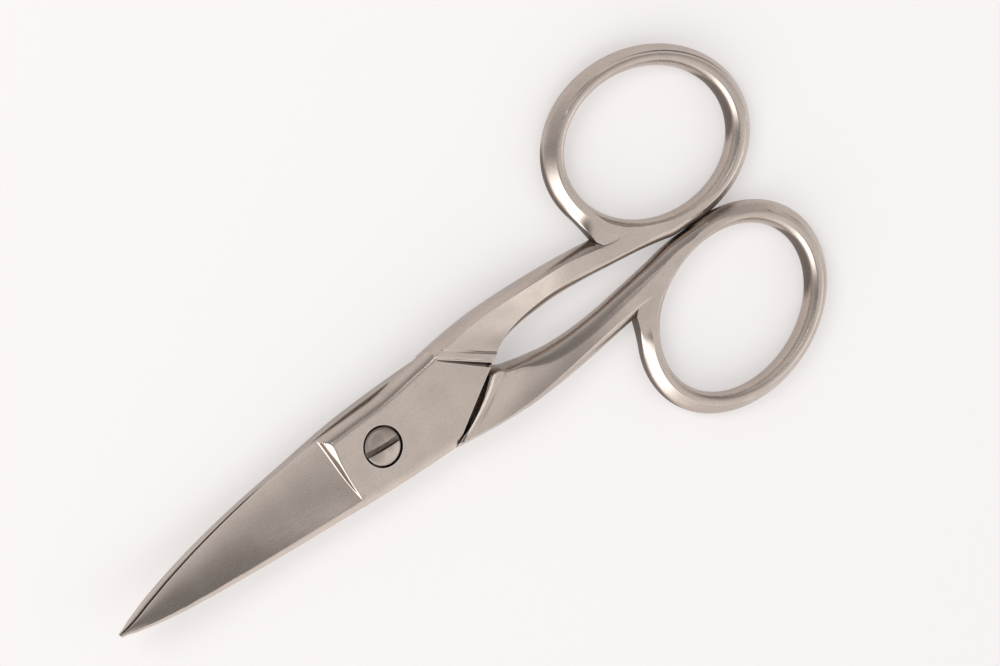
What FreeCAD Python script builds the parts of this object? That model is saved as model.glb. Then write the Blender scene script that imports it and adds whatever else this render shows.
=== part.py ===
"""Toenail scissors with forged finger rings, upswept blades and a slotted pivot screw.

Three pieces: upper_half and lower_half, each one forging with its ring, shank, joint plate
and blade, and pivot_screw, whose neck carries the upper half.

Millimetres. +X runs from the pivot to the rings, +Y is the side of the upper half's ring
and +Z is up. The origin lies on the pivot axis, on the flat underside that the closed
scissors rest on. The pieces are drawn closed.
"""
import FreeCAD
import Part

import math
import os

# Finger rings: the openings are ellipses, and the band is measured at the far end
ring_length = 22.8
ring_width = 18.15
ring_tilt = 14.2
ring_reach = 48.8
ring_band = 3.2
ring_height = 3.3
ring_proud = 0.1
ring_stop_gap = 0.12
ring_stop_depth = 0.08

# Shanks, from the joint to the rings
shank_height = 4.8
shank_half_width = 6.55
shank_bevel = 0.95
shank_bevel_drop = 1.8
shank_under_bevel = 0.5
shank_ledge = 1.0
shank_ledge_drop = 0.45
lens_half_width = 2.7
crotch_setback = 11.8
crotch_half_width = 5.4

# Joint plates, one over the other
plate_thickness = 2.2
plate_gap = 0.05
plate_half_width = 5.3
plate_strip = 0.3
plate_bevel = 1.3
plate_back_bevel = 0.5
shoulder_reach = 18.3
shoulder_angle = 34.0
shoulder_gap = 0.45
notch_half_width = 5.45

# Blades
blade_reach = 38.9
blade_root = 5.9
blade_root_slant = 0.8
blade_half_width = 5.0
blade_rise = 4.1
blade_thickness = 2.0
blade_back_bevel = 0.7
blade_gap = 0.14
edge_thickness = 0.2
edge_root_thickness = 1.1
flat_radius = 8.0

# Pivot screw
screw_head_diameter = 4.7
screw_head_height = 1.2
screw_dome = 0.3
screw_slot_width = 0.7
screw_slot_depth = 0.65
screw_slot_angle = -4.0
screw_neck_diameter = 3.0
screw_thread_diameter = 2.5
head_clearance = 0.14
neck_clearance = 0.03
thread_clearance = 0.02
seat_clearance = 0.05

# How far cutting tools run past the metal
overrun = 1.0

# Places along the shank, as shares of the way from the notch to the crotch, with the
# outline's half width there as a share of the shank's
shank_outer_shares = ((0.0, 0.86), (0.17, 0.95), (0.36, 1.0), (0.6, 0.975), (0.8, 0.915))
# Places along the gap between the shanks, as shares of the way from the shoulder to the
# middle of the rings, with the gap's half width as a share of its widest
lens_shares = (
    (0.02, 0.36),
    (0.06, 0.66),
    (0.15, 0.9),
    (0.28, 1.0),
    (0.45, 0.87),
    (0.6, 0.65),
    (0.75, 0.43),
    (0.9, 0.17),
)
# Places along the blade, as shares of the way from its root to its tip: the back's and the
# edge's half widths as shares of the root's, and the back's thickness as a share of the root's
blade_shares = (
    (0.0, 1.0, 0.97, 1.0),
    (0.15, 0.935, 0.885, 0.88),
    (0.4, 0.775, 0.67, 0.73),
    (0.6, 0.615, 0.49, 0.63),
    (0.75, 0.445, 0.31, 0.55),
    (0.87, 0.27, 0.14, 0.47),
    (0.95, 0.14, 0.03, 0.4),
    (1.0, 0.05, -0.03, 0.3),
)
# The edge is as thick as at the root there, and comes down to its full keenness by here
edge_keen_share = 0.4
# Edges of the flat along the ring's top and underside, as shares of its band
ring_flat_shares = (0.38, 0.63)
ring_wall_facets = 7

joint_level = plate_thickness
plate_top = plate_thickness + plate_gap + plate_thickness
tan_shoulder = math.tan(math.radians(shoulder_angle))
sin_shoulder = math.sin(math.radians(shoulder_angle))
# Half the ring's width across the scissors, and where that puts its middle when the rings
# stop on flats of the stop's depth
ring_half_span = (ring_length / 2 + ring_band) * math.hypot(
    math.sin(math.radians(ring_tilt)), ring_width / ring_length * math.cos(math.radians(ring_tilt)))
ring_spread = ring_half_span + ring_stop_gap / 2 - ring_stop_depth
# Where the plate's slanted end points at the lens, meets the outline, and where ring meets shank
plate_apex = shoulder_reach - shoulder_gap / sin_shoulder
notch_reach = plate_apex - notch_half_width / tan_shoulder
crotch_reach = ring_reach - crotch_setback


def at(x, y, z=0):
    return FreeCAD.Vector(x, y, z)


def curve(points, **tangents):
    """A smooth edge through the points."""
    spline = Part.BSplineCurve()
    spline.interpolate(points, **tangents)
    return spline.toShape()


def line(start, end):
    return Part.LineSegment(start, end).toShape()


def prism(edges, bottom, top):
    """The outline's edges, drawn at level zero, raised from bottom to top."""
    face = Part.Face(Part.Wire(Part.__sortEdges__(edges)))
    face.translate(at(0, 0, bottom))
    return face.extrude(at(0, 0, top - bottom))


def polygon_prism(points, bottom, top):
    face = Part.Face(Part.makePolygon(points + [points[0]]))
    face.translate(at(0, 0, bottom))
    return face.extrude(at(0, 0, top - bottom))


def loft(sections):
    """A smooth solid through closed sections, with its faces outward."""
    solid = Part.makeLoft(sections, True, False)
    if solid.Volume < 0:
        solid.reverse()
    return solid


def mirrored(shape):
    """The same shape on the other side of the closed scissors' middle plane."""
    return shape.mirror(at(0, 0), FreeCAD.Vector(0, 1, 0))


def shear_height(radius):
    """Level of the lower half's face where the blades meet, at a distance from the pivot."""
    beyond = max(radius - flat_radius, 0)
    return joint_level + blade_rise * (beyond / (blade_reach - flat_radius)) ** 2


def shear_space(side):
    """What lies beyond the shearing face of one half: a dish turned about the pivot.

    Because the face is turned about the pivot, the blades slide over each other at every
    angle. Side is 1 for the upper half, whose face looks down, and -1 for the lower.
    """
    reach = blade_reach + overrun
    level = joint_level
    end = shear_height(reach)
    if side > 0:
        level += plate_gap
        end += blade_gap
    far = level - side * (reach + overrun)
    rise = Part.BezierCurve()
    rise.setPoles([at(flat_radius, 0, level), at((flat_radius + reach) / 2, 0, level), at(reach, 0, end)])
    outline = [
        line(at(0, 0, far), at(0, 0, level)),
        line(at(0, 0, level), at(flat_radius, 0, level)),
        rise.toShape(),
        line(at(reach, 0, end), at(reach, 0, far)),
        line(at(reach, 0, far), at(0, 0, far)),
    ]
    face = Part.Face(Part.Wire(outline))
    return face.revolve(at(0, 0), FreeCAD.Vector(0, 0, 1), 360)


def outer_points():
    """The upper half's outline from the notch to the crotch."""
    way = crotch_reach - notch_reach
    points = [at(notch_reach + place * way, width * shank_half_width) for place, width in shank_outer_shares]
    return points + [at(crotch_reach, crotch_half_width)]


def lens_points():
    """The shank's side of the gap between the shanks, from the shoulder to the rings."""
    way = ring_reach - shoulder_reach
    points = [at(shoulder_reach + place * way, width * lens_half_width) for place, width in lens_shares]
    return [at(shoulder_reach, ring_stop_gap / 2)] + points + [at(ring_reach, ring_stop_gap / 2)]


def ring_ellipse(out):
    """An ellipse along the ring, out from its opening by this much at the ends."""
    tilt = math.radians(ring_tilt)
    along = FreeCAD.Vector(math.cos(tilt), -math.sin(tilt), 0)
    across = FreeCAD.Vector(math.sin(tilt), math.cos(tilt), 0)
    centre = at(ring_reach, ring_spread)
    reach = ring_length / 2 + out
    return Part.Ellipse(centre + along * reach, centre + across * (reach * ring_width / ring_length), centre)


def ring_section():
    """The ring's section: round walls in ground facets, and a narrow flat above and below."""
    inner = ring_length / 2
    flat_start, flat_end = [inner + share * ring_band for share in ring_flat_shares]
    outer = inner + ring_band
    points = []
    for start, waist, direction in ((flat_start, inner, 1), (flat_end, outer, -1)):
        for facet in range(ring_wall_facets + 1):
            turn = math.pi * facet / ring_wall_facets
            rise = (1 - direction * math.cos(turn)) / 2
            points.append(at(start + (waist - start) * math.sin(turn), 0, ring_height * rise))
    return Part.makePolygon(points + [points[0]])


def finger_ring():
    """A turned ring, pressed to an ellipse, with a small flat where the two rings stop."""
    ring = Part.Face(Part.Wire(ring_section())).revolve(at(0, 0), FreeCAD.Vector(0, 0, 1), 360)
    press = FreeCAD.Matrix()
    press.scale(1, ring_width / ring_length, 1)
    ring = ring.transformGeometry(press)
    ring.rotate(at(0, 0), FreeCAD.Vector(0, 0, 1), -ring_tilt)
    ring.translate(at(ring_reach, ring_spread))
    across = ring_length + ring_band * 2
    stop = Part.makeBox(
        across * 2, across, ring_height + overrun * 2,
        at(ring_reach - across, ring_stop_gap / 2 - across, -overrun),
    )
    return ring.cut(stop)


def shank_outline():
    """The shank seen from above, from the notch to the ring's crest."""
    outer = outer_points()
    lens = lens_points()
    crest = ring_ellipse(sum(ring_flat_shares) / 2 * ring_band)
    start = crest.parameter(at(crotch_reach + ring_band, crotch_half_width))
    end = crest.parameter(at(ring_reach, 0))
    meet = crest.value(start)
    leave = crest.value(end)
    back = at(outer[0].x, ring_stop_gap / 2)
    return [
        curve(outer),
        line(outer[-1], meet),
        Part.ArcOfEllipse(crest, start, end).toShape(),
        line(leave, lens[-1]),
        curve(lens),
        line(lens[0], back),
        line(back, outer[0]),
    ]


def shank_level(x, side):
    """Level of the shank's top, or with side -1 of its underside.

    It has the joint's height at the shoulder and runs in just under the ring's crest.
    """
    place = (x - shoulder_reach) / (crotch_reach - shoulder_reach)
    place = min(max(place, 0), 1)
    joint, ring = (shank_height, ring_height - ring_proud) if side > 0 else (0, ring_proud)
    return joint + (ring - joint) * place ** 2 * (3 - 2 * place)


def shank_run(side):
    """The line of the shank's top or underside, seen from the side, as edges."""
    back = notch_reach - overrun
    far = ring_reach + ring_length
    third = (crotch_reach - shoulder_reach) / 3
    joint = shank_level(shoulder_reach, side)
    ring = shank_level(crotch_reach, side)
    slope = Part.BezierCurve()
    slope.setPoles([
        at(shoulder_reach, 0, joint),
        at(shoulder_reach + third, 0, joint),
        at(crotch_reach - third, 0, ring),
        at(crotch_reach, 0, ring),
    ])
    return [
        line(at(back, 0, joint), at(shoulder_reach, 0, joint)),
        slope.toShape(),
        line(at(crotch_reach, 0, ring), at(far, 0, ring)),
    ]


def shank_profile():
    """The shank seen from the side."""
    back = notch_reach - overrun
    far = ring_reach + ring_length
    ends = [
        line(at(back, 0, shank_level(back, -1)), at(back, 0, shank_level(back, 1))),
        line(at(far, 0, shank_level(far, -1)), at(far, 0, shank_level(far, 1))),
    ]
    outline = Part.Wire(Part.__sortEdges__(shank_run(1) + shank_run(-1) + ends))
    return Part.Face(outline).extrude(at(0, shank_half_width + overrun))


def bevel_section(place, width, drop, side):
    """A wedge across an outline's point that takes the corner off above it, or below with side -1."""
    x, y, level = place
    return Part.makePolygon([
        at(x, y - 2 * width, level + side * drop),
        at(x, y + width, level + side * drop),
        at(x, y + width, level - 2 * side * drop),
        at(x, y - 2 * width, level + side * drop),
    ])


def bevel_space(points, width, drop, side):
    """The wedge along an outline, run on a little past both its ends."""
    first, second = points[0], points[1]
    before, last = points[-2], points[-1]
    ends = first + (first - second).normalize() * overrun, last + (last - before).normalize() * overrun
    sections = []
    for point in [ends[0]] + points + [ends[1]]:
        place = (point.x, point.y, shank_level(point.x, side))
        sections.append(bevel_section(place, width, drop, side))
    return loft(sections)


def shank():
    """The shank, with a long slope down to its outer side and a small bevel beneath."""
    body = prism(shank_outline(), 0, shank_height).common(shank_profile())
    outer = outer_points()
    return body.cut([
        bevel_space(outer, shank_bevel, shank_bevel_drop, 1),
        bevel_space(outer, shank_under_bevel, shank_under_bevel, -1),
    ])


def plate_side_space():
    """All round the joint and the blades, up to the shank's shoulder."""
    reach = blade_reach + overrun
    run = reach / tan_shoulder
    corners = [
        at(shoulder_reach + run, -reach),
        at(shoulder_reach - run, reach),
        at(-reach - run, reach),
        at(-reach - run, -reach),
    ]
    return polygon_prism(corners, -overrun, blade_rise + shank_height + overrun)


def ledge_space():
    """The wedge that bevels the shank's end along its shoulder."""
    face = Part.Face(Part.makePolygon([
        at(0, 0, shank_height - shank_ledge_drop),
        at(shank_ledge, 0, shank_height),
        at(shank_ledge, 0, shank_height + overrun),
        at(-overrun, 0, shank_height + overrun),
        at(-overrun, 0, shank_height - shank_ledge_drop),
        at(0, 0, shank_height - shank_ledge_drop),
    ]))
    length = shoulder_reach
    wedge = face.extrude(at(0, 2 * length))
    wedge.translate(at(0, -length))
    wedge.rotate(at(0, 0), FreeCAD.Vector(0, 0, 1), 90 - shoulder_angle)
    wedge.translate(at(shoulder_reach, 0))
    return wedge


def handle():
    """Shank and finger ring of the upper half, ending at the shoulder."""
    body = shank().fuse(finger_ring())
    return body.cut([plate_side_space(), ledge_space()])


def plate_outline():
    """The upper half's joint plate seen from above.

    Its end stands off the lower half's shoulder by the shoulder gap. On the ring's side it
    runs on into the shank.
    """
    root_back = at(-blade_root + blade_root_slant / 2, -blade_half_width)
    root_edge = at(-blade_root - blade_root_slant / 2, blade_half_width - plate_strip / 2)
    shank_side = at(notch_reach + shank_ledge, plate_half_width)
    back = [root_back, at(0, -plate_half_width), at(notch_reach, -notch_half_width)]
    front = [shank_side, at(0, plate_half_width - plate_strip), root_edge]
    return [
        curve(back),
        line(back[-1], at(plate_apex, 0)),
        line(at(plate_apex, 0), at(shoulder_reach, shank_ledge)),
        line(at(shoulder_reach, shank_ledge), shank_side),
        curve(front),
        line(root_edge, root_back),
    ]


def along_side(edge, side):
    """Whether an edge of the plate follows its side at +Y or -Y."""
    middle = edge.valueAt((edge.FirstParameter + edge.LastParameter) / 2)
    return edge.BoundBox.XLength > plate_half_width * 2 and middle.y * side > plate_half_width / 2


def joint_plate():
    bottom = plate_top - plate_thickness
    plate = prism(plate_outline(), bottom, plate_top)
    top = [edge for edge in plate.Edges if edge.BoundBox.ZMin > plate_top - plate_bevel / 2]
    plate = plate.makeChamfer(plate_bevel, [edge for edge in top if along_side(edge, 1)])
    top = [edge for edge in plate.Edges if edge.BoundBox.ZMin > plate_top - plate_bevel / 2]
    return plate.makeChamfer(plate_back_bevel, [edge for edge in top if along_side(edge, -1)])


def blade_section(side, place, back_share, edge_share, thickness_share):
    """One section of a blade, a five-sided wedge standing on its shearing face.

    It is thick at the back, with a bevel there, and falls to the cutting edge.
    """
    x = -blade_root - place * (blade_reach - blade_root)
    back = -side * back_share * blade_half_width
    edge = side * edge_share * blade_half_width
    keen = min(place / edge_keen_share, 1)
    edge_height = edge_root_thickness + (edge_thickness - edge_root_thickness) * keen
    back_height = thickness_share * blade_thickness
    bevel = min(blade_back_bevel * thickness_share, abs(edge - back) / 2)

    def level(y, height):
        return shear_height(math.hypot(x, y)) + side * height

    inner = -blade_thickness / 2
    return Part.makePolygon([
        at(x, back, level(back, inner)),
        at(x, back, level(back, back_height - bevel / 2)),
        at(x, back + side * bevel, level(back, back_height)),
        at(x, edge, level(edge, edge_height)),
        at(x, edge, level(edge, inner)),
        at(x, back, level(back, inner)),
    ])


def blade(side):
    """The upswept blade: sections lofted from inside the plate to the tip."""
    sections = [blade_section(side, *shares) for shares in blade_shares]
    root = blade_section(side, *blade_shares[0])
    root.translate(at(blade_root_slant, 0))
    return loft([root] + sections)


def pivot_bore():
    """The upper half's hole for the screw's neck, with the counterbore of the head."""
    neck = screw_neck_diameter / 2 + neck_clearance
    head = screw_head_diameter / 2 + head_clearance
    floor = plate_top - screw_head_height
    hole = Part.makeCylinder(neck, plate_top, at(0, 0))
    return hole.fuse(Part.makeCylinder(head, screw_head_height + overrun, at(0, 0, floor)))


def upper_half():
    half = handle().fuse([joint_plate(), blade(1)])
    half = half.cut(shear_space(1).common(plate_side_space()))
    return half.cut(pivot_bore()).removeSplitter()


def lower_half():
    """The mirrored handle with its plate turned over, so that its blade lies beneath."""
    plate = joint_plate()
    plate.rotate(at(0, 0, plate_top / 2), FreeCAD.Vector(1, 0, 0), 180)
    half = mirrored(handle()).fuse([plate, blade(-1)])
    half = half.cut(shear_space(-1).common(mirrored(plate_side_space())))
    thread = screw_thread_diameter / 2 + thread_clearance
    return half.cut(Part.makeCylinder(thread, shank_height, at(0, 0, -overrun))).removeSplitter()


def pivot_screw():
    """A turned screw with a domed, slotted head.

    Its neck is the bearing and stands on the lower half, and its threaded end is ground
    flush with the underside.
    """
    head = screw_head_diameter / 2
    neck = screw_neck_diameter / 2
    thread = screw_thread_diameter / 2
    seat = plate_top - screw_head_height + seat_clearance
    dome = Part.Arc(at(head, 0, plate_top), at(head / 2, 0, plate_top + screw_dome * 3 / 4),
                    at(0, 0, plate_top + screw_dome))
    corners = [
        at(0, 0, plate_top + screw_dome),
        at(0, 0, 0),
        at(thread, 0, 0),
        at(thread, 0, joint_level),
        at(neck, 0, joint_level),
        at(neck, 0, seat),
        at(head, 0, seat),
        at(head, 0, plate_top),
    ]
    edges = [line(start, end) for start, end in zip(corners, corners[1:])]
    screw = Part.Face(Part.Wire(edges + [dome.toShape()])).revolve(at(0, 0), FreeCAD.Vector(0, 0, 1), 360)
    slot_floor = plate_top + screw_dome - screw_slot_depth
    slot = Part.makeBox(
        screw_head_diameter + overrun, screw_slot_width, screw_slot_depth + overrun,
        at(-(screw_head_diameter + overrun) / 2, -screw_slot_width / 2, slot_floor),
    )
    slot.rotate(at(0, 0), FreeCAD.Vector(0, 0, 1), screw_slot_angle)
    return screw.cut(slot)


def write(name, shape):
    """Write one piece as a STEP file of its solids."""
    solids = shape.Solids
    piece = solids[0] if len(solids) == 1 else Part.makeCompound(solids)
    piece.exportStep(os.path.join("parts", name + ".step"))


def main():
    os.makedirs("parts", exist_ok=True)
    write("upper_half", upper_half())
    write("lower_half", lower_half())
    write("pivot_screw", pivot_screw())


if __name__ == "__main__":
    main()
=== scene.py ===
"""The looks of the toenail scissors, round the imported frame. Metres, in the frame's own axes."""

import math

import bpy
from mathutils import Matrix, Vector


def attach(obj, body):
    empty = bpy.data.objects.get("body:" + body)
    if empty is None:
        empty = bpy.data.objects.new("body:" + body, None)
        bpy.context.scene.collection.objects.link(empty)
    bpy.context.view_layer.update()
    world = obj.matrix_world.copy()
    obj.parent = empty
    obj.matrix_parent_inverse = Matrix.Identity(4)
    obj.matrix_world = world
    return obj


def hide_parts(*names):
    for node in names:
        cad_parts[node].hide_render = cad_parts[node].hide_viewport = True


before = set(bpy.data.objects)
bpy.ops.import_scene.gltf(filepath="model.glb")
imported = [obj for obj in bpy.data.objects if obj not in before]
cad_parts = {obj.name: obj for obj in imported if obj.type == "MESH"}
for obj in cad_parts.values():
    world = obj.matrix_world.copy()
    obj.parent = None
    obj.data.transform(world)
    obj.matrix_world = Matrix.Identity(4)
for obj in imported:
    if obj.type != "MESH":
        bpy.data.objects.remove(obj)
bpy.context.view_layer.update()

bl_info = {
    "name": "Toenail scissors",
    "version": (1, 0, 0),
    "blender": (4, 5, 0),
    "location": "View3D > Sidebar > Scissors",
    "description": "Models the halves and the screw of toenail scissors and sets their stage",
    "category": "Object",
}

MM = 0.001


def size(name, description, millimetres):
    """A length that the sidebar shows in Blender's units."""
    return bpy.props.FloatProperty(
        name=name, description=description, unit="LENGTH", default=millimetres * MM, precision=5)


def angle(name, description, degrees):
    """An angle that the sidebar shows in degrees."""
    return bpy.props.FloatProperty(
        name=name, description=description, subtype="ANGLE", default=math.radians(degrees))


def factor(name, description, default, unit="NONE"):
    """A number that isn't a length, an angle or a colour."""
    return bpy.props.FloatProperty(
        name=name, description=description, unit=unit, default=default)


def colour(name, description, default):
    """An sRGB colour, written as in a paint chart."""
    return bpy.props.StringProperty(
        name=name, description="sRGB colour " + description, default=default)


class ScissorsRing(bpy.types.PropertyGroup):
    """Sizes of the finger rings."""

    length: size("Length", "Of the oval opening, along it", 22.8)
    width: size("Width", "Of the oval opening, across it", 18.15)
    reach: size("Reach", "From the pivot to the opening's middle, along the scissors", 48.8)
    spread: size("Spread", "From the middle plane to the opening's middle", 11.8)
    band: size("Band", "Width of the metal at the opening's two ends", 3.0)
    side_band: size("Side band", "Width of the metal beside the opening", 2.57)
    swell: size("Swell", "How much more metal the far end has than the middle", 0.15)
    height: size("Height", "From the underside to the flat on top", 3.3)
    crown: size("Crown", "How far the middle of the top stands over its two edges", 0.05)
    stop: size("Stop", "From the middle plane to where each ring is flattened by the other", 0.06)
    tilt: angle("Tilt", "Of the opening, towards the middle plane at its far end", 14.2)


class ScissorsShank(bpy.types.PropertyGroup):
    """Sizes of the shanks."""

    height: size("Height", "At the joint", 4.8)
    shoulder: size("Shoulder", "From the pivot to the upper shoulder's line, midway", 18.42)
    low_shoulder: size("Lower shoulder", "The same in the lower half, ground further back", 16.05)
    low_hollow: size("Lower hollow", "Depth of the arc that the lower shoulder is ground to", 0.56)
    low_reach: size("Lower reach", "Width of the lower shoulder's arc, from the middle plane", 4.65)
    ledge: size("Ledge", "Width of the level strip along the shoulder", 1.0)
    ledge_drop: size("Ledge drop", "How far the strip lies under the ridge", 0.12)
    ledge_round: size("Ledge rounding", "Radius of the strip's edge over the joint", 0.3)
    lip: size("Lip", "Width of the slope that the lower shoulder's strip starts with", 0.45)
    lip_slope: factor("Lip slope", "Its fall away from the gap", 0.3)
    crease: size("Crease", "Depth of the fine line where the wheel's edge left the strip", 0.07)
    flare: size("Flare", "How much wider the ring grows into the crotch", 1.1)
    settle: size("Settle", "From the pivot to where the shank is as low as the ring", 36.5)
    slant: angle("Slant", "Of the upper shoulder, from the scissors' long axis", 34.6)
    low_slant: angle("Lower slant", "Of the lower shoulder, from the scissors' long axis", 33.6)
    low_blend: factor("Lower blend", "How much rounder the lower shank is beside the gap", 1.7)
    facet: angle("Facet", "Fall of the broad facet towards the gap", 11.0)


class ScissorsBlade(bpy.types.PropertyGroup):
    """Sizes of the joint plates and the blades."""

    plate: size("Plate", "Thickness of each joint plate", 2.2)
    gap: size("Gap", "Between the two plates", 0.05)
    tip_gap: size("Tip gap", "Between the blades at their tips", 0.14)
    end: size("End", "From the pivot to the upper plate's end at the middle plane", 15.6)
    low_end: size("Lower end", "From the pivot to the lower plate's end at the middle plane", 17.5)
    end_slant: angle("End slant", "Of the plates' ends, from the scissors' long axis", 35.0)
    reach: size("Reach", "From the pivot to the tips", 38.9)
    level: size("Level", "How far from the pivot the shearing face stays flat", 8.0)
    rise: size("Rise", "Of the shearing face, from the joint to the tips", 4.1)
    thickness: size("Thickness", "Of the blade's back beside the joint", 2.1)
    root_edge: size("Root edge", "Thickness of the cutting edge beside the joint", 1.0)
    keen_edge: size("Keen edge", "Thickness of the cutting edge where it is ground thin", 0.2)


class ScissorsScrew(bpy.types.PropertyGroup):
    """Sizes of the pivot screw."""

    head: size("Head", "Diameter of the head", 4.66)
    dome: size("Dome", "Height of the head's dome", 0.38)
    slot: size("Slot", "Width of the screwdriver slot", 0.74)
    slot_depth: size("Slot depth", "From the top of the dome", 0.72)
    bore: size("Counterbore", "Diameter of the counterbore round the head", 5.1)
    sunk: size("Sunk", "Depth of the counterbore", 1.2)
    neck: size("Neck", "Diameter of the hole for the neck", 3.06)
    thread: size("Thread", "Diameter of the tapped hole", 2.54)
    slot_turn: angle("Slot turn", "Of the slot, from the scissors' long axis", -4.0)


class ScissorsSteel(bpy.types.PropertyGroup):
    """Colours of the steel, and of the shade painted into its corners, steep steps and screw slot.
    """

    ground: colour("Ground steel", "of the satin ground halves", "#BCB0A7")
    turned: colour("Turned steel", "of the screw", "#ACA097")
    ground_dull: colour("Dull steel", "where the finish is duller", "#AFA39A")
    ground_worn: colour("Worn steel", "of edges rubbed bright", "#D8CFC8")
    # Painted shade: a dark colour put into inner corners, steep faces turned to -X and the screw's
    # slot
    skin: colour("Forging skin", "of the dark skin in inner corners", "#4A403A")


class ScissorsStage(bpy.types.PropertyGroup):
    """Camera, lamp and floor."""

    aim: bpy.props.FloatVectorProperty(
        name="Aim", description="Point at the middle of the picture", subtype="TRANSLATION",
        unit="LENGTH", default=(20.45 * MM, 2.55 * MM, 2.0 * MM), precision=5)
    distance: size("Distance", "From the aim to the camera", 475.9)
    azimuth: angle("Azimuth", "Of the camera, from +X towards +Y", 139.7)
    elevation: angle("Elevation", "Of the camera above the floor", 64.2)
    roll: angle("Roll", "Turn of the camera about its own line of sight", 98.6)
    lens: factor("Lens", "Focal length on a 36 mm sensor", 144.0, "CAMERA")
    window: factor("Window", "Power of the soft lamp", 6.4, "POWER")
    paper: colour("Paper", "of the floor", "#F5F1F0")


# Stations along each shank from over the joint to inside the ring, in millimetres: the widest line
# beside the gap between the shanks, then the outermost line. Near the shoulder both points of a
# station lie equally far from it. The halves were ground by hand, so their gaps differ
SHANK_STATIONS = {
    "upper": (
        (12.05, 0.3, 5.0, 4.96),
        (14.6, 0.45, 7.0, 5.66),
        (17.02, 0.62, 9.4, 5.88),
        (18.11, 1.12, 10.9, 6.1),
        (19.28, 1.72, 12.6, 6.33),
        (20.4, 2.05, 14.6, 6.52),
        (22.3, 2.28, 18.6, 6.8),
        (24.9, 2.42, 23.4, 6.78),
        (28.8, 2.45, 28.4, 6.5),
        (33.0, 2.1, 32.8, 6.1),
        (37.0, 1.63, 37.0, 5.6),
        (39.4, 1.34, 39.4, 5.3),
        (41.2, 1.1, 41.0, 4.9),
        (42.8, 0.83, 42.5, 3.92),
        (44.5, 0.5, 44.4, 3.0),
        (46.2, 0.14, 46.4, 2.36),
        (48.5, 0.1, 48.5, 1.98),
        (50.6, 0.1, 50.6, 1.85),
    ),
    "lower": (
        (12.32, 0.1, 5.0, 4.96),
        (15.36, 0.1, 7.2, 5.52),
        (17.49, 0.15, 8.9, 5.85),
        (18.66, 0.7, 10.6, 6.05),
        (20.4, 1.12, 12.6, 6.3),
        (21.6, 1.38, 14.6, 6.52),
        (22.8, 1.58, 18.6, 6.8),
        (24.9, 1.92, 23.4, 6.78),
        (28.6, 2.1, 28.4, 6.5),
        (32.8, 1.9, 32.8, 6.1),
        (36.8, 1.42, 37.0, 5.6),
        (39.2, 1.1, 39.4, 5.4),
        (41.0, 0.86, 41.0, 5.0),
        (42.6, 0.6, 42.5, 3.92),
        (44.3, 0.3, 44.4, 3.0),
        (46.2, 0.14, 46.4, 2.36),
        (48.5, 0.1, 48.5, 1.98),
        (50.6, 0.1, 50.6, 1.85),
    ),
}
# In millimetres, at the same stations: width of the rounded side beside the gap, then of the outer
SHANK_ROUNDS = (
    (0.4, 0.95),
    (0.4, 0.95),
    (0.4, 1.0),
    (0.5, 1.05),
    (0.6, 1.1),
    (0.75, 1.15),
    (0.95, 1.3),
    (1.05, 1.4),
    (1.05, 1.45),
    (1.0, 1.45),
    (0.95, 1.35),
    (0.9, 1.15),
    (0.9, 0.4),
    (1.0, 0.15),
    (1.1, 0.06),
    (1.15, 0.05),
    (1.17, 0.05),
    (1.17, 0.05),
)
# Half widths of the plate and blade from the pivot's far side to the tip, in millimetres: place,
# back, cutting edge, and the back's thickness as a share of its thickness at the joint
BLADE_STATIONS = (
    (17.15, 5.45, 6.3, 1.0),
    (12.5, 5.45, 6.0, 1.0),
    (9.4, 5.45, 5.45, 1.0),
    (4.0, 5.4, 5.1, 1.0),
    (-1.0, 5.22, 4.95, 1.0),
    (-6.0, 4.95, 4.72, 1.0),
    (-11.0, 4.6, 4.3, 0.9),
    (-16.0, 4.2, 3.75, 0.8),
    (-21.0, 3.7, 3.1, 0.71),
    (-26.0, 3.08, 2.35, 0.63),
    (-30.5, 2.38, 1.55, 0.55),
    (-34.0, 1.63, 0.82, 0.43),
    (-37.0, 0.8, 0.2, 0.31),
    (-38.9, 0.16, 0.08, 0.19),
)
# Where the blade begins and where the plate ends over it, along the scissors
BLADE_ROOT, PLATE_STEP = -5.9 * MM, -5.7 * MM
# Where sections of the plate and blade lie, in millimetres: the first, how far apart they are, and
# how many. They are close together at the plate's step
BLADE_SPACING = (
    (17.15, 0.6, 36), (-4.4, 0.04, 70), (-7.2, 0.5, 57), (-35.6, 0.2, 17), (-38.9, 0.0, 1))
# The wedge-shaped groove at the foot of the upper shoulder, in millimetres: place seen from above,
# and depth under the plate
COVE = (
    (11.0, 5.0, 0.07), (16.72, 0.98, 0.42), (16.5, 0.5, 0.3), (16.05, 0.72, 0.0), (10.9, 4.84, 0.0))
# Across a ring, as shares of its band from the opening: the width of its inner and outer side, and
# the angle from the top at which each starts
RING_SIDES, RING_LEANS = (0.27, 0.44), (math.radians(36), math.radians(34))
# How much further out the ridge of the outer side lies at most, and the direction where it does
RIDGE_SHIFT, RIDGE_TURN = 0.13, math.radians(55)
# Round a ring, in degrees: where it changes beside the crotch, and over how much of the turn
FLARE_GROWS, FLARE_ENDS = (209, 18), (236, 26)
FILL_GROWS, FILL_ENDS = (200, 24), (248, 20)
CROWN_ENDS, CROWN_GROWS = (185, 20), (290, 20)
# Edges up to this angle are shaded smooth, so the ground ones stay crisp. The screw's rim is
# rounded in coarser steps
HALF_EDGE, SCREW_EDGE = math.radians(14), math.radians(35)
# Patterns on the steel, as cells per metre: lines 0.15 mm wide, grain of 0.26 mm, clouds of 4 mm,
# and the saw's grit of 0.14 mm
LINES, GRAIN, CLOUDS, GRIT = 6500.0, 3800.0, 240.0, 7000.0
# Brightness of the room by direction, from -Y to +Y as shares of the way
ROOM_LIGHT = (
    (0.0, 1.15),
    (0.3, 1.15),
    (0.37, 1.06),
    (0.46, 0.86),
    (0.555, 0.52),
    (0.63, 0.4),
    (0.77, 0.38),
    (0.86, 0.48),
    (1.0, 0.6),
)
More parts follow.
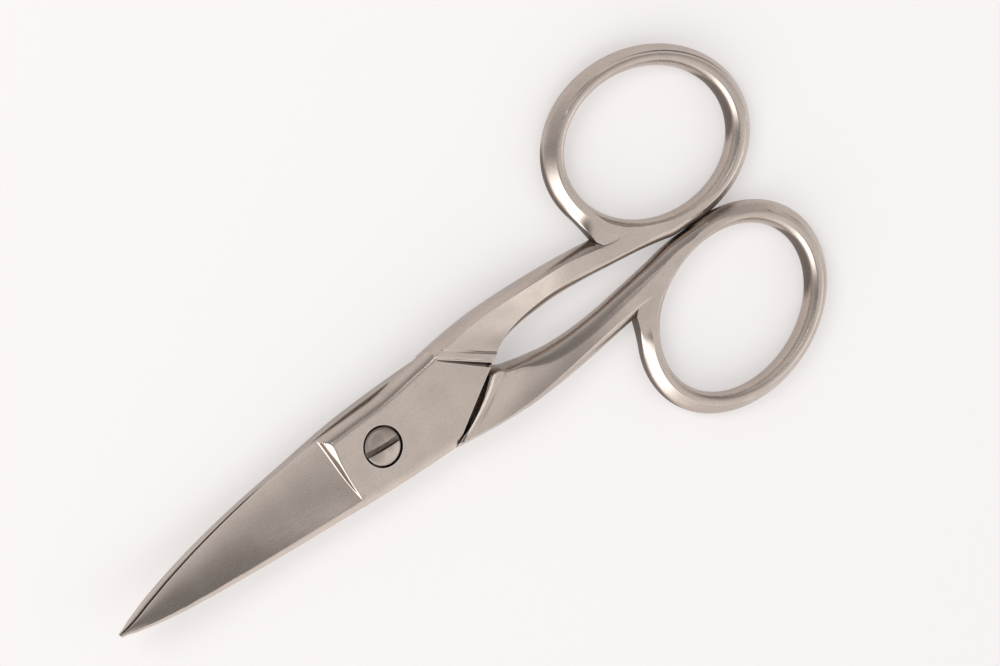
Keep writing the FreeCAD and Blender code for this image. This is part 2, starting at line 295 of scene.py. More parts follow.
# Bright windows and the dark viewer: direction, the cosines at which each starts and is full, and
# how much light it adds
ROOM_PATCHES = (
    ((0.62, -0.55, 0.56), 0.966, 0.99, 1.0),
    ((0.08, 0.28, 0.955), 0.984, 0.997, 2.8),
    ((-0.83, -0.28, 0.48), 0.74, 0.95, 0.8),
    ((-0.83, -0.28, 0.48), 0.86, 0.98, 1.5),
    ((-0.4, 0.0, 0.91), 0.8, 0.95, -0.5),
)


def spline(points, place):
    """A smooth curve through the points at equal steps, place running from 0 to 1."""
    last = len(points) - 1
    scaled = min(max(place, 0.0), 1.0) * last
    step = min(int(scaled), last - 1)
    t = scaled - step
    before, start, end, after = [points[min(max(step + i, 0), last)] for i in (-1, 0, 1, 2)]
    return [
        (2 * b + (c - a) * t
         + (2 * a - 5 * b + 4 * c - d) * t * t
         + (3 * b - a - 3 * c + d) * t ** 3) / 2
        for a, b, c, d in zip(before, start, end, after)
    ]


def eased(value, start=0.0, reach=1.0):
    """0 up to the start, 1 from its reach onwards, and smooth between."""
    value = min(max((value - start) / reach, 0.0), 1.0)
    return value * value * (3 - 2 * value)


def edit(action):
    """Run an action on everything in the active mesh, in edit mode."""
    bpy.ops.object.mode_set(mode="EDIT")
    bpy.ops.mesh.select_all(action="SELECT")
    action()
    bpy.ops.object.mode_set(mode="OBJECT")


def lofted(name, rows):
    """A closed solid through rows of points, each going once round a section."""
    bpy.ops.object.select_all(action="DESELECT")
    bpy.ops.mesh.primitive_grid_add(
        x_subdivisions=len(rows[0]), y_subdivisions=len(rows) - 1, size=1)
    piece = bpy.context.object
    piece.name = name
    points = [point for row in rows for point in row + row[:1]]
    for vertex, point in zip(piece.data.vertices, points, strict=True):
        vertex.co = point
    edit(lambda: bpy.ops.mesh.remove_doubles(threshold=0.002 * MM))
    edit(lambda: bpy.ops.mesh.fill_holes(sides=0))
    edit(lambda: bpy.ops.mesh.normals_make_consistent(inside=False))
    return piece


def bisected(piece, place, normal):
    """Cut off what lies beyond a plane, and close the cut."""
    bpy.context.view_layer.objects.active = piece
    edit(lambda: bpy.ops.mesh.bisect(
        plane_co=place, plane_no=normal, use_fill=True, clear_outer=True, threshold=0.0001 * MM))


def combined(piece, other, operation):
    """Join another solid to a piece, or cut it out, and throw the other away."""
    bpy.ops.object.select_all(action="DESELECT")
    bpy.context.view_layer.objects.active = piece
    piece.select_set(True)
    modifier = piece.modifiers.new(operation.lower(), "BOOLEAN")
    modifier.operation = operation
    modifier.solver = "EXACT"
    modifier.object = other
    bpy.ops.object.modifier_apply(modifier=modifier.name)
    bpy.data.objects.remove(other)


def wall(start, waist, height, lean, facets):
    """A bulging side from top to bottom: it leaves the top at an angle and is widest halfway."""
    points = []
    for facet in range(facets + 1):
        turn = lean + (math.pi - 2 * lean) * facet / facets
        share = (math.sin(turn) - math.sin(lean)) / (1 - math.sin(lean))
        level = (1 + math.cos(turn) / math.cos(lean)) / 2
        points.append((start + (waist - start) * share, height * level))
    return points


def bar_section(width, height, rounds, leans):
    """Across a bar: two flats, and a bulging side beside each end of them.

    Points run along the top, down the far side, back along the underside and up the near side.
    """
    near, far = rounds
    flats = 9
    top = [(near + (width - far - near) * step / flats, height) for step in range(1, flats)]
    under = [(across, 0.0) for across, _ in reversed(top[::2])]
    facets = 20
    far_wall = wall(width - far, width, height, leans[1], facets)
    near_wall = list(reversed(wall(near, 0.0, height, leans[0], facets)))
    return softened(near_wall, -1) + top + softened(far_wall, 0) + under


def softened(points, corner):
    """Draw the sharp end of a side back a little, so the polish has broken the edge."""
    inner = points[1] if corner == 0 else points[-2]
    edge = points[corner]
    nearer = ((edge[0] * 3 + inner[0]) / 4, edge[1] + (inner[1] - edge[1]) * 0.12)
    if corner == 0:
        return [points[0], nearer] + points[1:]
    return points[:-1] + [nearer, points[-1]]


def flare_at(shank, turn):
    """How far the ring's outer side stands out where it grows into the crotch."""
    degrees = math.degrees(turn)
    start, length = FLARE_GROWS
    rise = min(max((degrees - start) / length, 0), 1) ** 2
    return shank.flare * rise * (1 - eased(degrees, *FLARE_ENDS))


def filled_at(turn):
    """How far the ring's outer edge is filled up beside the crotch, where the forging is thick."""
    degrees = math.degrees(turn)
    return eased(degrees, *FILL_GROWS) * (1 - eased(degrees, *FILL_ENDS))


def ring_top(ring, turn, share, height):
    """Height of a point on a ring's upper half: a crowned band, and a nearly straight slope."""
    inner, outer = RING_SIDES[0], 1 - RING_SIDES[1]
    if share > outer:
        start = outer + RIDGE_SHIFT * max(math.cos(turn - RIDGE_TURN), 0)
        down = min(max((share - start) / (1 - start), 0), 1)
        straight = 0.8 * down + 0.2 * (1 - math.sqrt(1 - down ** 8))
        height = ring.height * (1 - straight / 2)
    from_middle = min(max((2 * share - inner - outer) / (outer - inner), -1), 1)
    degrees = math.degrees(turn)
    crowned = 1 - eased(degrees, *CROWN_ENDS) * (1 - eased(degrees, *CROWN_GROWS))
    height -= ring.crown * from_middle * from_middle * crowned
    if share > 0.5 and height > ring.height / 2:
        height = ring.height - (ring.height - height) * (1 - 0.93 * filled_at(turn))
    return height


def finger_ring(ring, shank, side):
    """A turned ring pressed to an oval, with a little more metal at its far end."""
    steps = 192
    section = bar_section(1.0, ring.height, RING_SIDES, RING_LEANS)
    bpy.ops.object.select_all(action="DESELECT")
    bpy.ops.mesh.primitive_torus_add(
        major_segments=steps, minor_segments=len(section),
        major_radius=ring.length, minor_radius=ring.band)
    piece = bpy.context.object
    along = Vector((math.cos(ring.tilt), -math.sin(ring.tilt), 0))
    across = Vector((math.sin(ring.tilt), math.cos(ring.tilt), 0))
    centre = Vector((ring.reach, ring.spread, 0))
    for index, vertex in enumerate(piece.data.vertices):
        step, place = divmod(index, len(section))
        share, height = section[place]
        turn = 2 * math.pi * step / steps
        if height > ring.height / 2:
            height = ring_top(ring, turn, share, height)
        flare = flare_at(shank, turn) * share
        forth = math.cos(turn) * (ring.length / 2 + share * ring.band + flare) + share * ring.swell
        sideways = math.sin(turn) * (ring.width / 2 + share * ring.side_band + flare)
        point = centre + along * forth + across * sideways
        vertex.co = (point.x, max(point.y, ring.stop) * side, height)
    edit(lambda: bpy.ops.mesh.normals_make_consistent(inside=False))
    return piece


def shoulder_line(shank, half):
    """Where the shoulder's line meets the middle plane, and the direction square to it."""
    reach, slant = (
        (shank.shoulder, shank.slant) if half == "upper" else (shank.low_shoulder, shank.low_slant))
    return Vector((reach, 0)), Vector((math.sin(slant), math.cos(slant)))


def shoulder_distance(shank, half, point):
    """Distance of a point of the shank from the shoulder's edge; the lower one is a shallow arc."""
    shoulder, square = shoulder_line(shank, half)
    off = (point - shoulder).dot(square)
    if half == "upper":
        return off
    way = min(max(point.y / shank.low_reach, 0), 1)
    return off - shank.low_hollow * 4 * way * (1 - way)


def top_drop(shank, off, inward, way, half):
    """How far the shank's top lies under its ridge near the shoulder.

    Off is the distance from the shoulder's edge, inward the fall of the broad facet there, and
    way runs from the gap to the outer side, where the strip is rounder.
    """
    strip = eased(off, shank.ledge, 0.2 * MM)
    outward = eased(way, 0.7, 0.22)
    if half == "upper":
        ledge_drop, sharpness = shank.ledge_drop, 1.0
        line = shank.crease * (1 - eased(way, 0.35, 0.4))
    else:
        ledge_drop, sharpness = shank.ledge_drop * (1 - eased(way, 0.5, 0.35)), 0.35
        line = 0.0
    line *= math.exp(-((off - shank.ledge) / (0.1 * MM)) ** 2)
    radius = shank.ledge_round * (sharpness + 1.6 * outward)
    round_off = max(1 - max(off, 0) / radius, 0)
    edge = radius * (1 - math.sqrt(1 - round_off ** 2))
    if half == "lower":
        edge -= shank.lip_slope * max(shank.lip - max(off, 0), 0) * (1 - outward)
    over_joint = 0.12 * MM * eased(-off, 0, 0.15 * MM)
    return inward * strip + ledge_drop * (1 - strip) + line + edge + over_joint


def shank_sides(shank, half, place):
    """Widths of the rounded sides beside the gap and outside, and how far they lean at the top."""
    near, far = [value * MM for value in spline(SHANK_ROUNDS, place)]
    into_ring = eased(place, 0.62, 0.25)
    if half == "upper":
        far *= 1 - 0.45 * eased(place, 0.22, 0.15) * (1 - eased(place, 0.5, 0.12))
        near_lean = 20
    else:
        near *= 1 + (shank.low_blend - 1) * (1 - into_ring)
        near_lean = 6 + 20 * into_ring
    return (near, far), (math.radians(near_lean), math.radians(30))


def shank_places(count):
    """Where sections of the shank lie, close together as far as its sixth station."""
    bend, before, after = 5 / (count - 1), 170, 120
    places = [bend * step / before for step in range(before)]
    return places + [bend + (1 - bend) * step / after for step in range(after + 1)]


def shank_rows(ring, shank, half):
    """Sections of the shank, close together near the shoulder and parallel to it there."""
    stations = SHANK_STATIONS[half]
    # Of the broad facet's fall: what it starts with at the shoulder, and how soon it has it all
    least, settled = (0.3, 5 * MM) if half == "upper" else (0.1, 9 * MM)
    rows = []
    for place in shank_places(len(stations)):
        lens_x, lens_y, outer_x, outer_y = [value * MM for value in spline(stations, place)]
        lens, outer = Vector((lens_x, lens_y)), Vector((outer_x, outer_y))
        width = (outer - lens).length
        rounds, leans = shank_sides(shank, half, place)
        ridge = width - rounds[1]
        into_ring = eased(place, 0.62, 0.25)
        # The top lies a hair over the ring's and dives into it at the end, so no faces coincide
        top_at_ring = ring.height + 0.003 * MM - 0.035 * MM * eased(place, 0.9, 0.1)
        fall = math.tan(shank.facet * (1 - eased(outer_x, 27 * MM, 10 * MM)))
        row = []
        for across, level in bar_section(width, shank.height, rounds, leans):
            way = across / width
            point = lens + (outer - lens) * way
            off = shoulder_distance(shank, half, point)
            share = least + (1 - least) * eased(off, shank.ledge, settled)
            inward = fall * share * max(ridge - max(across, 0.6 * rounds[0]), 0)
            drop = top_drop(shank, off, inward, way, half)
            drop += 0.012 * MM * eased(way, 0.5, 0.4) * into_ring
            sink = eased(point.x, shank.shoulder, shank.settle - shank.shoulder)
            top = shank.height + (top_at_ring - shank.height) * sink
            row.append((point.x, point.y, level * (1 - drop / shank.height) * top / shank.height))
        rows.append(row)
    return rows


def slab(points, bottoms, top):
    """A flat cutter over an outline, with the height of its underside at each point."""
    bpy.ops.object.select_all(action="DESELECT")
    bpy.ops.mesh.primitive_cylinder_add(vertices=len(points), radius=1 * MM, depth=1 * MM)
    cutter = bpy.context.object
    for index, vertex in enumerate(cutter.data.vertices):
        x, y = points[index // 2]
        vertex.co = (x, y, bottoms[index // 2] if vertex.co.z < 0 else top)
    edit(lambda: bpy.ops.mesh.normals_make_consistent(inside=False))
    return cutter


def joint_outline(shank, half, side):
    """The room that a shoulder leaves for the other half, seen from above."""
    shoulder, square = shoulder_line(shank, half)
    along = Vector((-square.y, square.x))
    line = [shoulder + along * step * MM for step in (*range(-6, 13), 20)]
    edge = [point - square * min(shoulder_distance(shank, half, point), 0) for point in line]
    behind = [shoulder + (along * step - square * 15) * MM for step in (20, -6)]
    return [(x, y * side) for x, y in edge + behind]


def handle(ring, shank, blade, half):
    """Ring and shank of one half, ending at the shoulder."""
    side = 1 if half == "upper" else -1
    rows = [[(x, y * side, z) for x, y, z in row] for row in shank_rows(ring, shank, half)]
    piece = lofted(half, rows)
    bottom, top = (-1 * MM, blade.plate + blade.gap) if half == "upper" else (blade.plate, 6 * MM)
    outline = joint_outline(shank, half, side)
    combined(piece, slab(outline, [bottom] * len(outline), top), "DIFFERENCE")
    combined(piece, finger_ring(ring, shank, side), "UNION")
    return piece


def soft_max(first, second, reach):
    """The larger of two, with a fillet where they meet."""
    blend = max(reach - abs(first - second), 0) / reach
    return max(first, second) + blend * blend * reach / 4


def soft_min(first, second, reach):
    """The smaller of two, with a rounding where they meet."""
    return -soft_max(-first, -second, reach)


def eased_slope(distance, reach):
    """A slope that starts softly at 0 and then falls one in one."""
    distance = max(distance, 0)
    return distance * distance / (distance + reach)


def shear_height(blade, x, y):
    """Level of the lower half's face where the blades meet."""
    beyond = max(math.hypot(x, y) - blade.level, 0)
    return blade.plate + blade.rise * (beyond / (blade.reach - blade.level)) ** 2


def blade_top(blade, x, share, back, edge, thickness):
    """Height of the plate's or the blade's top over the shearing face.

    Share runs from the back to the cutting edge. The blade is hollow ground, steep below its
    back and nearly level at its edge. The plate's end is a steep step, with its top edge and
    its foot rounded.
    """
    width = edge + back
    from_back = share * width
    y = from_back - back
    from_edge = edge - y
    # The blade: hollow between its back and its edge, which is ground thin after the root
    keen = min(max((x - BLADE_ROOT) / (-blade.reach - BLADE_ROOT) / 0.4, 0), 1)
    edge_height = blade.root_edge + (blade.keen_edge - blade.root_edge) * keen
    back_height = thickness * blade.thickness
    bevel = min(0.95 * MM * thickness, width * 0.3)
    hollow = max((from_back - bevel) / (width - bevel), 0)
    face = back_height + (edge_height - back_height) * (1 - (1 - hollow) ** 1.8)
    blade_height = max(face - eased_slope(bevel - from_back, 0.08 * MM) * 0.55, 0.05 * MM)
    # The plate: level between a rounded front and a bevelled back
    front = eased_slope(1.3 * MM - from_edge, 0.16 * MM) / (1.25 * MM)
    bevelled_back = eased_slope(1.1 * MM - from_back, 0.12 * MM) * 0.55
    plate_height = blade.plate - (0.55 * front + 0.85 * front ** 3) * MM - bevelled_back
    # Its end: steep, gentler towards the cutting edge, and with its corner broken there
    toward_edge, corner = eased(y, -2.5 * MM, 6.5 * MM), eased(y, -0.5 * MM, 4 * MM)
    beyond = PLATE_STEP - x + 0.42 * MM * toward_edge
    broken = blade.plate - soft_max(beyond + 0.42 * MM * corner, 0, 0.16 * MM) * 0.8
    ramp = blade.plate - soft_max(beyond, 0, 0.16 * MM) * (2.4 - 0.7 * toward_edge)
    ramp = soft_min(ramp - 0.06 * MM * corner, broken, 0.12 * MM)
    plate_height = soft_min(plate_height, ramp, 0.2 * MM)
    if beyond > -0.6 * MM:
        return soft_max(plate_height, blade_height, 0.22 * MM)
    return plate_height


def blade_rows(blade, half):
    """Sections of the joint plate and the blade, close together where one becomes the other."""
    turn = 1 if half == "upper" else -1
    places = [
        first - apart * step for first, apart, count in BLADE_SPACING for step in range(count)]
    known = [station[0] for station in BLADE_STATIONS]
    rows = []
    for x in places:
        after = max(next((i for i, reach in enumerate(known) if reach <= x), len(known) - 1), 1)
        share = (known[after - 1] - x) / (known[after - 1] - known[after])
        _, back, edge, thickness = spline(BLADE_STATIONS, (after - 1 + share) / (len(known) - 1))
        # By hand the upper plate was left wider, and the lower blade's back was ground further in
        if half == "upper":
            edge += 0.55 * eased(x, 1, 9)
        else:
            back -= 0.4 * eased(-x, 2, 12) * min(back / 2.4, 1)
        rows.append(blade_row(blade, turn, x * MM, back * MM, edge * MM, thickness))
    return rows


def blade_row(blade, turn, x, back, edge, thickness):
    """One section, from the cutting edge along the top to the back, and along the shearing face.

    Sections near the plate's end lean with it. Turn is 1 for the upper half, and -1 for the
    lower one, which is the same turned over.
    """
    width = back + edge
    lean = 0.09 * (1 - eased(abs(x - BLADE_ROOT + 0.1 * MM), 1.5 * MM, 5 * MM))
    over, under = 64, 16
    outline = []
    for step in range(over + 1):
        share = 1 - step / over
        outline.append((-back + share * width, blade_top(blade, x, share, back, edge, thickness)))
    outline += [(-back + width * step / under, 0.0) for step in range(under + 1)]
    points = []
    for y, height in outline:
        leant = x - lean * y
        level = shear_height(blade, leant, y)
        if turn > 0:
            risen = min((level - blade.plate) / blade.rise, 1)
            level += blade.gap + (blade.tip_gap - blade.gap) * risen
        points.append((leant, y * turn, level + turn * height))
    return points


def plate_and_blade(blade, shank, half):
    """The joint plate with its blade, cut off along the other half's shoulder."""
    turn = 1 if half == "upper" else -1
    piece = lofted(half + "_blade", blade_rows(blade, half))
    normal = (math.sin(blade.end_slant), -math.cos(blade.end_slant) * turn, 0)
    bisected(piece, (blade.end if half == "upper" else blade.low_end, 0, 0), normal)
    if half == "upper":
        shoulder, square = shoulder_line(shank, half)
        bisected(piece, (*(shoulder + square * 0.6 * MM), 0), (*square, 0))
    return piece


def drill(piece, diameter, bottom, top):
    """Drill a round hole on the pivot axis."""
    bpy.ops.object.select_all(action="DESELECT")
    bpy.ops.mesh.primitive_cylinder_add(
        vertices=96, radius=diameter / 2, depth=top - bottom, location=(0, 0, (top + bottom) / 2))
    cutter = bpy.context.object
    bpy.ops.object.transform_apply(location=True)
    combined(piece, cutter, "DIFFERENCE")


def finished(piece, node, body, material, crisp_from):
    """Shade a piece, give it its material and let it stand for its node."""
    bpy.ops.object.select_all(action="DESELECT")
    piece.select_set(True)
    bpy.context.view_layer.objects.active = piece
    bpy.ops.object.shade_smooth_by_angle(angle=crisp_from)
    modifier = piece.modifiers.new("weighted", "WEIGHTED_NORMAL")
    modifier.keep_sharp = True
    bpy.ops.object.modifier_apply(modifier=modifier.name)
    piece.data.materials.clear()
    piece.data.materials.append(material)
    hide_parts(node)
    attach(piece, body)


def linear(text):
    """An sRGB hex colour as linear RGBA."""
    parts = [int(text[i:i + 2], 16) / 255 for i in (1, 3, 5)]
    return [c / 12.92 if c <= 0.04045 else ((c + 0.055) / 1.055) ** 2.4 for c in parts] + [1.0]


def new_material(name):
    """A material and its shader."""
    material = bpy.data.materials.new(name)
    material.use_nodes = True
    return material, material.node_tree.nodes["Principled BSDF"]


def satin_ground_steel(settings):
    """Stainless steel, ground and then tumbled with stones: it mirrors the room, but softly."""
    material, shader = new_material("satin_ground_stainless_steel")
    shader.inputs["Metallic"].default_value = 1.0
    tree = material.node_tree
    places = tree.nodes.new("ShaderNodeTexCoord").outputs
    facing = tree.nodes.new("ShaderNodeSeparateXYZ")
    tree.links.new(places["Normal"], facing.inputs[0])
    flat = tree.nodes.new("ShaderNodeNewGeometry").outputs["Normal"]
    # Grinding lines along the bar, drawn 20 times as long as wide, lead the eye along its length
    drawn = add_node(tree, "Mapping", {}, i0=places["Object"], i3=(0.05, 1.0, 1.0))
    lines = add_node(tree, "TexNoise", {}, i0=drawn, i2=LINES, i3=3.0)
    # The tumbling stones leave a soft grain all over
    grain = add_node(tree, "TexNoise", {}, i0=places["Object"], i2=GRAIN, i3=3.0)
    # Clouds, where the finish is a little duller or keener
    clouds = add_node(tree, "TexNoise", {}, i0=places["Object"], i2=CLOUDS, i3=2.0)
    # Edges are rubbed bright by use: there the direction differs from one rounded over 0.15 mm
    rounded = add_node(tree, "Bevel", {"samples": 4}, i0=0.15 * MM)
    apart = add_node(tree, "VectorMath", {"operation": "DISTANCE"}, i0=flat, i1=rounded)
    worn = add_node(
        tree, "MapRange", {}, i0=apart.node.outputs["Value"], i1=0.08, i2=0.4, i3=0.0, i4=0.7)
    # Inner corners get painted shade: ambient occlusion over 0.6 mm darkens them towards the shade
    # colour
    hidden = add_node(tree, "AmbientOcclusion", {"samples": 6}, i1=0.6 * MM)
    corner = add_node(tree, "MapRange", {}, i0=hidden, i1=0.75, i2=0.35)
    # Steep faces turned towards -X, such as the step below the plate, get painted shade, nearly
    # black
    step = add_node(tree, "MapRange", {}, i0=facing.outputs["X"], i1=-0.74, i2=-0.84)
    skin = add_node(tree, "Math", {"operation": "MAXIMUM"}, i0=corner, i1=step)
    skin = add_node(tree, "Math", {"operation": "MULTIPLY"}, i0=skin, i1=0.75)
    base, dull, bright, black = (linear(text) for text in (
        settings.ground, settings.ground_dull, settings.ground_worn, settings.skin))
    tone = add_node(tree, "MapRange", {}, i0=clouds, i1=0.35, i2=0.65, i3=0.0, i4=0.5)
    fine = add_node(tree, "MapRange", {}, i0=grain, i1=0.3, i2=0.7, i3=0.0, i4=0.5)
    tone = add_node(tree, "Math", {"operation": "ADD"}, i0=tone, i1=fine)
    tint = add_node(tree, "MixRGB", {}, i0=tone, i1=base, i2=dull)
    tint = add_node(tree, "MixRGB", {}, i0=worn, i1=tint, i2=bright)
    tint = add_node(tree, "MixRGB", {}, i0=skin, i1=tint, i2=black)
    tree.links.new(tint, shader.inputs["Base Color"])
    rough = add_node(tree, "MapRange", {}, i0=lines, i1=0.3, i2=0.7, i3=0.21, i4=0.29)
    rough = add_node(tree, "MapRange", {}, i0=skin, i1=0.0, i2=1.0, i3=rough, i4=0.5)
    tree.links.new(rough, shader.inputs["Roughness"])
    mixed = add_node(tree, "Math", {"operation": "ADD"}, i0=lines, i1=grain)
    bump = add_node(tree, "Bump", {}, i0=0.08, i1=0.008 * MM, i3=mixed)
    tree.links.new(bump, shader.inputs["Normal"])
    return material


def turned_steel(settings):
    """Polished stainless steel with the lathe's fine rings, on which light spreads as a fan."""
    material, shader = new_material("turned_stainless_steel")
    shader.inputs["Metallic"].default_value = 1.0
    shader.inputs["Anisotropic"].default_value = 0.85
    tree = material.node_tree
    places = tree.nodes.new("ShaderNodeTexCoord").outputs
    level = tree.nodes.new("ShaderNodeSeparateXYZ")
    tree.links.new(places["Object"], level.inputs[0])
    tangent = add_node(tree, "Tangent", {"direction_type": "RADIAL", "axis": "Z"})
    tree.links.new(tangent, shader.inputs["Tangent"])
    # The sawn slot gets painted shade, mottled by grit noise, so it reads as a dark cut with a
    # rough floor
    sawn = add_node(tree, "MapRange", {}, i0=level.outputs["Z"], i1=4.42 * MM, i2=4.28 * MM)
    grit = add_node(tree, "TexNoise", {}, i0=places["Object"], i2=GRIT, i3=3.0)
    slot_shade_mask = add_node(tree, "MapRange", {}, i0=grit, i1=0.35, i2=0.65, i3=0.25, i4=0.8)
    slot_shade_mask = add_node(tree, "Math", {"operation": "MULTIPLY"}, i0=sawn, i1=slot_shade_mask)
    cloudy = add_node(tree, "MapRange", {}, i0=grit, i1=0.3, i2=0.7, i3=0.0, i4=0.4)
    base, dull, black = (
        linear(text) for text in (settings.turned, settings.ground_dull, settings.skin))
    tint = add_node(tree, "MixRGB", {}, i0=cloudy, i1=base, i2=dull)
    tint = add_node(tree, "MixRGB", {}, i0=slot_shade_mask, i1=tint, i2=black)
    tree.links.new(tint, shader.inputs["Base Color"])
    rough = add_node(tree, "MapRange", {}, i0=sawn, i1=0.0, i2=1.0, i3=0.34, i4=0.5)
    tree.links.new(rough, shader.inputs["Roughness"])
    bump = add_node(tree, "Bump", {}, i0=slot_shade_mask, i1=0.02 * MM, i3=grit)
    tree.links.new(bump, shader.inputs["Normal"])
    return material


def pale_paper(settings):
    """Matt white paper. The camera and metal see much of its own white, and still its shadows."""
    material, shader = new_material("matt_white_paper")
    shader.inputs["Base Color"].default_value = linear(settings.paper)
    shader.inputs["Roughness"].default_value = 0.9
    tree = material.node_tree
    rays = tree.nodes.new("ShaderNodeLightPath").outputs
    mirrored = add_node(tree, "Math", {"operation": "MAXIMUM"},
                        i0=rays["Is Glossy Ray"], i1=rays["Is Transmission Ray"])
    mirrored = add_node(tree, "Math", {"operation": "MULTIPLY"}, i0=mirrored, i1=0.3)
    seen = add_node(tree, "Math", {"operation": "MULTIPLY"}, i0=rays["Is Camera Ray"], i1=0.55)
    share = add_node(tree, "Math", {"operation": "MAXIMUM"}, i0=seen, i1=mirrored)
    glow = add_node(tree, "Emission", {}, i0=linear(settings.paper), i1=0.86)
    mixed = add_node(tree, "MixShader", {}, i0=share, i1=shader.outputs[0], i2=glow)
    tree.links.new(mixed, tree.nodes["Material Output"].inputs["Surface"])
    return material


def add_node(tree, kind, settings, **links):
    """One node with its settings; an input's name gives the socket or the value it takes."""
    node = tree.nodes.new("ShaderNode" + kind)
    for name, value in settings.items():
        setattr(node, name, value)
    for name, value in links.items():
        socket = node.inputs[int(name[1:])]
        if isinstance(value, bpy.types.NodeSocket):
            tree.links.new(value, socket)
        else:
            socket.default_value = value
    return node.outputs[0]


def set_stops(ramp, stops):
    """Give a colour ramp its grey stops."""
    while len(ramp.elements) < len(stops):
        ramp.elements.new(0.5)
    for element, (place, grey) in zip(ramp.elements, stops):
        element.position = place
        element.color = (grey, grey, grey, 1)


def add_studio(scene):
    """A pale room: bright towards -Y, darker above and behind the viewer, who stands at +Y."""
    world = scene.world or bpy.data.worlds.new("studio")
    scene.world = world
    world.use_nodes = True
    tree = world.node_tree
    direction = tree.nodes.new("ShaderNodeTexCoord").outputs["Generated"]
    split = tree.nodes.new("ShaderNodeSeparateXYZ")
    tree.links.new(direction, split.inputs[0])
    side = add_node(tree, "MapRange", {}, i0=split.outputs["Y"], i1=-1.0, i2=1.0)
    ramp = tree.nodes.new("ShaderNodeValToRGB")
    ramp.color_ramp.interpolation = "EASE"
    set_stops(ramp.color_ramp, ROOM_LIGHT)
    tree.links.new(side, ramp.inputs[0])
    # The room is dimmer beyond the finger rings
    end = add_node(tree, "MapRange", {}, i0=split.outputs["X"], i1=0.35, i2=0.95, i3=1.0, i4=0.6)
    light = add_node(tree, "Math", {"operation": "MULTIPLY"}, i0=ramp.outputs[0], i1=end)
    for toward, starts, full, strength in ROOM_PATCHES:
        near = add_node(tree, "VectorMath", {"operation": "DOT_PRODUCT"}, i0=direction, i1=toward)
        patch = add_node(tree, "MapRange", {"interpolation_type": "SMOOTHSTEP"},
                         i0=near.node.outputs["Value"], i1=starts, i2=full, i3=0.0, i4=strength)
        light = add_node(tree, "Math", {"operation": "ADD"}, i0=light, i1=patch)
    # The paper's far ends light it near the horizon, which shows on the outer sides of the rings
    low = add_node(tree, "MapRange", {"interpolation_type": "SMOOTHSTEP"},
                   i0=split.outputs["Z"], i1=0.5, i2=0.2, i3=0.0, i4=0.3)
    light = add_node(tree, "Math", {"operation": "ADD"}, i0=light, i1=low)
    light = add_node(tree, "Math", {"operation": "MAXIMUM"}, i0=light, i1=0.1)
    background = tree.nodes["Background"]
    tree.links.new(light, background.inputs["Strength"])
    background.inputs["Color"].default_value = (1, 1, 1, 1)


class SCISSORS_OT_halves(bpy.types.Operator):
    """Model both halves"""

    bl_idname = "scissors.halves"
    bl_label = "Halves"

    def execute(self, context):
        scene = context.scene
        ring, shank, blade, screw = (
            scene.scissors_ring, scene.scissors_shank, scene.scissors_blade, scene.scissors_screw)
        steel = satin_ground_steel(scene.scissors_steel)
        plate_top = blade.plate * 2 + blade.gap
        for half in ("upper", "lower"):
            piece = handle(ring, shank, blade, half)
            combined(piece, plate_and_blade(blade, shank, half), "UNION")
            if half == "upper":
                outline = [(x * MM, y * MM) for x, y, _ in COVE]
                bottoms = [plate_top - depth * MM for _, _, depth in COVE]
                combined(piece, slab(outline, bottoms, plate_top + 1 * MM), "DIFFERENCE")
                drill(piece, screw.bore, plate_top - screw.sunk, plate_top + 1 * MM)
                drill(piece, screw.neck, 1 * MM, plate_top)
            else:
                drill(piece, screw.thread, -1 * MM, plate_top)
            piece.name = half + "_half_ground"
            finished(piece, half + "_half", half, steel, HALF_EDGE)
        return {"FINISHED"}


def screw_outline(screw, blade):
    """Radius and height from the dome's middle to the thread's end."""
    top = blade.plate * 2 + blade.gap
    radius, rim, rings = screw.head / 2, 0.12 * MM, 14
    shares = [step / rings for step in range(1, rings)]
    dome = [(radius * share, top + screw.dome * (1 - share ** 2) - rim) for share in shares]
    edge = [(radius - rim * (1 - math.sin(turn)), top - rim - rim * (1 - math.cos(turn)))
            for turn in (0.5, 0.9, 1.3, math.pi / 2)]
    play, chamfer, end = 0.04 * MM, 0.25 * MM, 0.05 * MM
    neck, thread = screw.neck / 2 - play, screw.thread / 2 - play
    under_head = top - screw.sunk + play / 2
    under_neck = blade.plate + play / 2
    shaft = [(radius, under_head), (neck, under_head), (neck, under_neck), (thread, under_neck),
             (thread, chamfer + end), (thread - chamfer, end)]
    return dome + edge + shaft


class SCISSORS_OT_screw(bpy.types.Operator):
    """Model the screw: a low domed head, its slot, the bearing neck and the threaded end"""

    bl_idname = "scissors.screw"
    bl_label = "Screw"

    def execute(self, context):
        scene = context.scene
        screw, blade = scene.scissors_screw, scene.scissors_blade
        turns = [2 * math.pi * step / 96 for step in range(96)]
        rows = [
            [(radius * math.cos(turn), radius * math.sin(turn), height) for turn in turns]
            for radius, height in screw_outline(screw, blade)
        ]
        piece = lofted("pivot_screw_turned", rows)
        top = blade.plate * 2 + blade.gap + screw.dome
        along = Vector((math.cos(screw.slot_turn), math.sin(screw.slot_turn)))
        square = Vector((-along.y, along.x)) * (screw.slot / 2)
        along *= screw.head
        corners = [along - square, along + square, -along + square, -along - square]
        combined(piece, slab(corners, [top - screw.slot_depth] * 4, top + 1 * MM), "DIFFERENCE")
        steel = turned_steel(scene.scissors_steel)
        finished(piece, "pivot_screw", "lower", steel, SCREW_EDGE)
        return {"FINISHED"}


def add_lamp(name, place, aim, side, watts):
    """A square soft box that points at its aim, and that metal doesn't mirror."""
    bpy.ops.object.light_add(type="AREA", location=place)
    lamp = bpy.context.object
    lamp.name = name
    lamp.data.shape = "SQUARE"
    lamp.data.size = side
    lamp.data.energy = watts
    lamp.rotation_euler = (Vector(place) - Vector(aim)).to_track_quat("Z", "Y").to_euler()
    lamp.visible_glossy = False


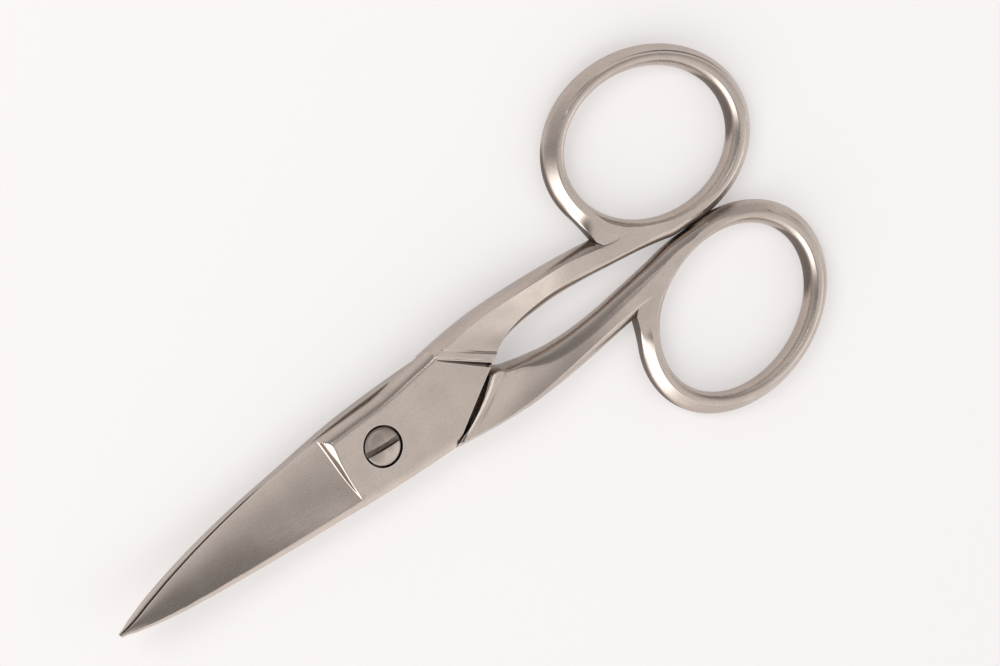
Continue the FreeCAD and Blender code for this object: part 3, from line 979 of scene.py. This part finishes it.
def add_camera(settings):
    """The camera, at the photograph's viewing angle."""
    aim = Vector(settings.aim)
    flat = math.cos(settings.elevation)
    away = Vector((
        flat * math.cos(settings.azimuth),
        flat * math.sin(settings.azimuth),
        math.sin(settings.elevation),
    ))
    bpy.ops.object.camera_add(location=aim + away * settings.distance)
    camera = bpy.context.object
    turn = away.to_track_quat("Z", "Y") @ Matrix.Rotation(settings.roll, 4, "Z").to_quaternion()
    camera.rotation_euler = turn.to_euler()
    camera.data.sensor_width = 36.0
    camera.data.lens = settings.lens
    camera.data.clip_start = 10 * MM
    bpy.context.scene.camera = camera


class SCISSORS_OT_stage(bpy.types.Operator):
    """Lay the floor and set the lamp, the world and the camera"""

    bl_idname = "scissors.stage"
    bl_label = "Stage"

    def execute(self, context):
        settings = context.scene.scissors_stage
        bpy.ops.mesh.primitive_plane_add(size=3.0)
        floor = context.object
        floor.name = "floor"
        floor.data.materials.append(pale_paper(settings))
        add_studio(context.scene)
        add_lamp("near_window", (-0.50, 0.66, 0.78), (0.01, 0, 0), 0.46, settings.window)
        add_camera(settings)
        context.scene.view_settings.view_transform = "Standard"
        return {"FINISHED"}


class SCISSORS_PT_panel(bpy.types.Panel):
    """Lists the pieces in the sidebar"""

    bl_label = "Toenail scissors"
    bl_space_type = "VIEW_3D"
    bl_region_type = "UI"
    bl_category = "Scissors"

    def draw(self, context):
        for name in ("halves", "screw", "stage"):
            self.layout.operator("scissors." + name)


GROUPS = {
    "scissors_ring": ScissorsRing,
    "scissors_shank": ScissorsShank,
    "scissors_blade": ScissorsBlade,
    "scissors_screw": ScissorsScrew,
    "scissors_steel": ScissorsSteel,
    "scissors_stage": ScissorsStage,
}
CLASSES = (
    *GROUPS.values(), SCISSORS_OT_halves, SCISSORS_OT_screw, SCISSORS_OT_stage, SCISSORS_PT_panel)


def register():
    """Add the classes, and the settings to the scene."""
    for item in CLASSES:
        bpy.utils.register_class(item)
    for name, group in GROUPS.items():
        setattr(bpy.types.Scene, name, bpy.props.PointerProperty(type=group))


def unregister():
    """Take them away again."""
    for name in GROUPS:
        delattr(bpy.types.Scene, name)
    for item in reversed(CLASSES):
        bpy.utils.unregister_class(item)


def main():
    """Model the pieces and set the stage."""
    register()
    bpy.ops.scissors.halves()
    bpy.ops.scissors.screw()
    bpy.ops.scissors.stage()


if __name__ == "__main__":
    main()
